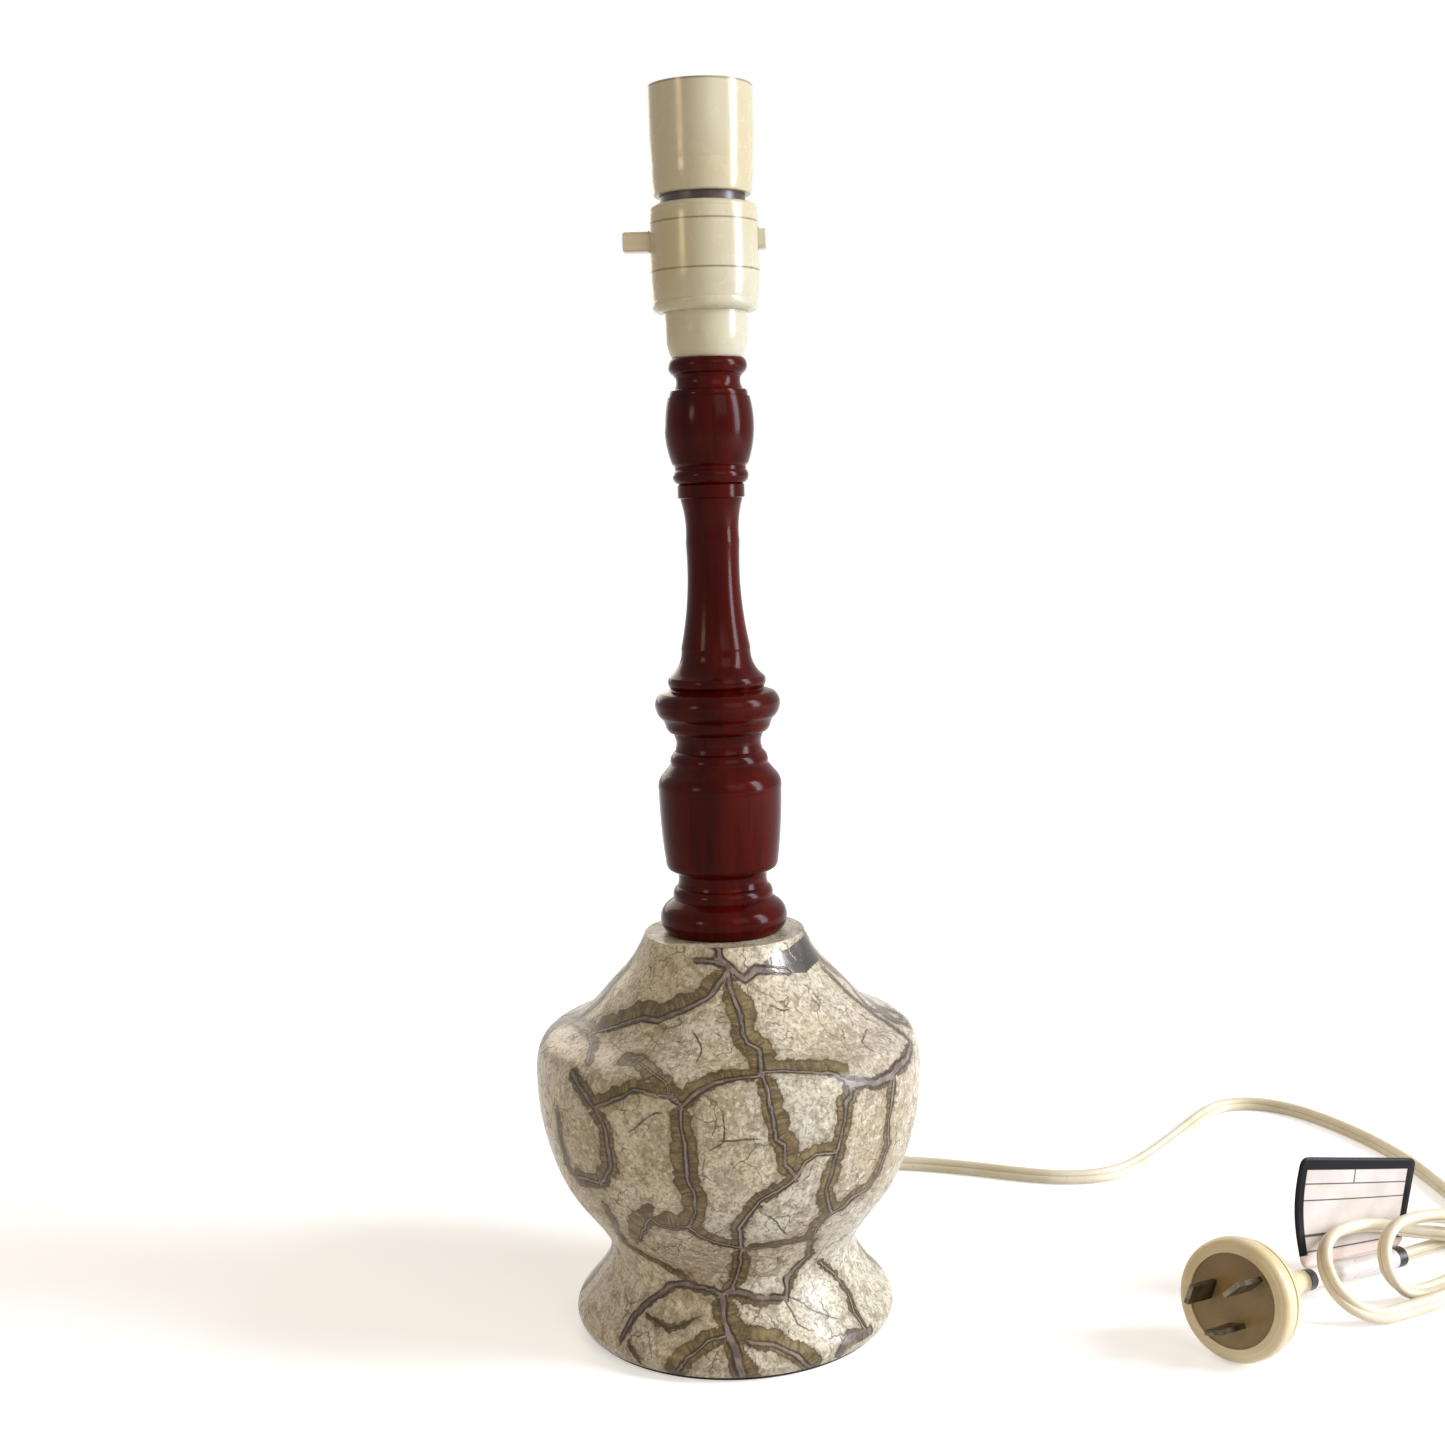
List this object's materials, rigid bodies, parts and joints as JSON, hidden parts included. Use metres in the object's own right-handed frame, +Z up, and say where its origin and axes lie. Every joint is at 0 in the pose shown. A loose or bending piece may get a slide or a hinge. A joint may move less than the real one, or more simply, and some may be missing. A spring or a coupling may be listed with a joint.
{
  "type": "ceramic table lamp",
  "caption": "Table lamp with a waisted, flared glazed ceramic body, turned wooden column, push-bar bayonet lampholder and flat cord with plug and tag.",
  "frame": {"origin": "On the table under the middle of the foot, at the lowest point of the lamp.", "axes": "+Z up along the lamp's axis, front towards -Y, the push-bar along X, the cord leaves the foot towards +Y."},
  "size_m": [0.462, 0.2622, 0.419],
  "materials": {
    "ceramic": "gloss crackle glaze",
    "felt": "matt felt",
    "wood": "gloss polish on turned hardwood",
    "steel": "plated",
    "bush": "satin",
    "cord": "soft PVC sheath",
    "ivory": "gloss, slightly yellowed",
    "dark_plastic": "satin phenolic",
    "brass": "plain",
    "copper": null,
    "spring_steel": "plain",
    "plug_cream": "satin gloss",
    "plug_grey": "satin",
    "pin_metal": "worn plating",
    "tag_white": "laminated, gloss",
    "tag_black": "satin"
  },
  "bodies": {
    "lamp": {"ceramic_body": "ceramic", "base_pad": "felt", "wood_column": "wood", "lamp_tube": "steel", "tube_washer": "steel", "tube_nut": "steel", "cap_lock_nut": "steel", "grub_screw": "steel", "cord_bush": "bush", "cord_clamp": "bush", "cord_free": "cord", "cord_hank": "cord", "cord_tail": "cord", "inner_lead": "cord", "holder_cap": "ivory", "holder_lower_body": "ivory", "switch_housing": "ivory", "holder_collar": "ivory", "terminal_block": "dark_plastic", "bayonet_barrel": "dark_plastic", "contact_core": "dark_plastic", "terminal_left": "brass", "terminal_right": "brass", "terminal_screw_left": "brass", "terminal_screw_right": "brass", "contact_strip_left": "brass", "contact_strip_right": "brass", "fixed_contact_left": "brass", "fixed_contact_right": "brass", "detent_leaf": "brass", "conductor_left": "copper", "conductor_right": "copper", "spring_left": "spring_steel", "spring_right": "spring_steel", "plug_ring": "plug_cream", "plug_body": "plug_cream", "plug_neck": "plug_cream", "plug_face": "plug_grey", "plug_pin_active": "pin_metal", "plug_pin_neutral": "pin_metal", "plug_pin_earth": "pin_metal", "tag_panel": "tag_white", "tag_sleeve": "tag_white", "tag_band_near": "tag_black", "tag_band_far": "tag_black"},
    "switch_bar": {"switch_bar": "ivory", "switch_bridge": "brass"},
    "shade_ring": {"shade_ring": "ivory"},
    "plunger_left": {"plunger_left": "brass"},
    "plunger_right": {"plunger_right": "brass"}
  },
  "joints": [
    {"name": "switch_bar_slide", "type": "slide", "parent": "lamp", "child": "switch_bar", "axis": [1, 0, 0], "range_m": [0, 0.006]},
    {"name": "shade_ring_lift", "type": "slide", "parent": "lamp", "child": "shade_ring", "axis": [0, 0, 1], "range_m": [-0.0028, 0.028]},
    {"name": "plunger_left_press", "type": "slide", "parent": "lamp", "child": "plunger_left", "axis": [0, 0, -1], "range_m": [0, 0.0035], "stiffness_N_per_m": 600, "deforming": ["spring_left"]},
    {"name": "plunger_right_press", "type": "slide", "parent": "lamp", "child": "plunger_right", "axis": [0, 0, -1], "range_m": [0, 0.0035], "stiffness_N_per_m": 600, "deforming": ["spring_right"]}
  ]
}
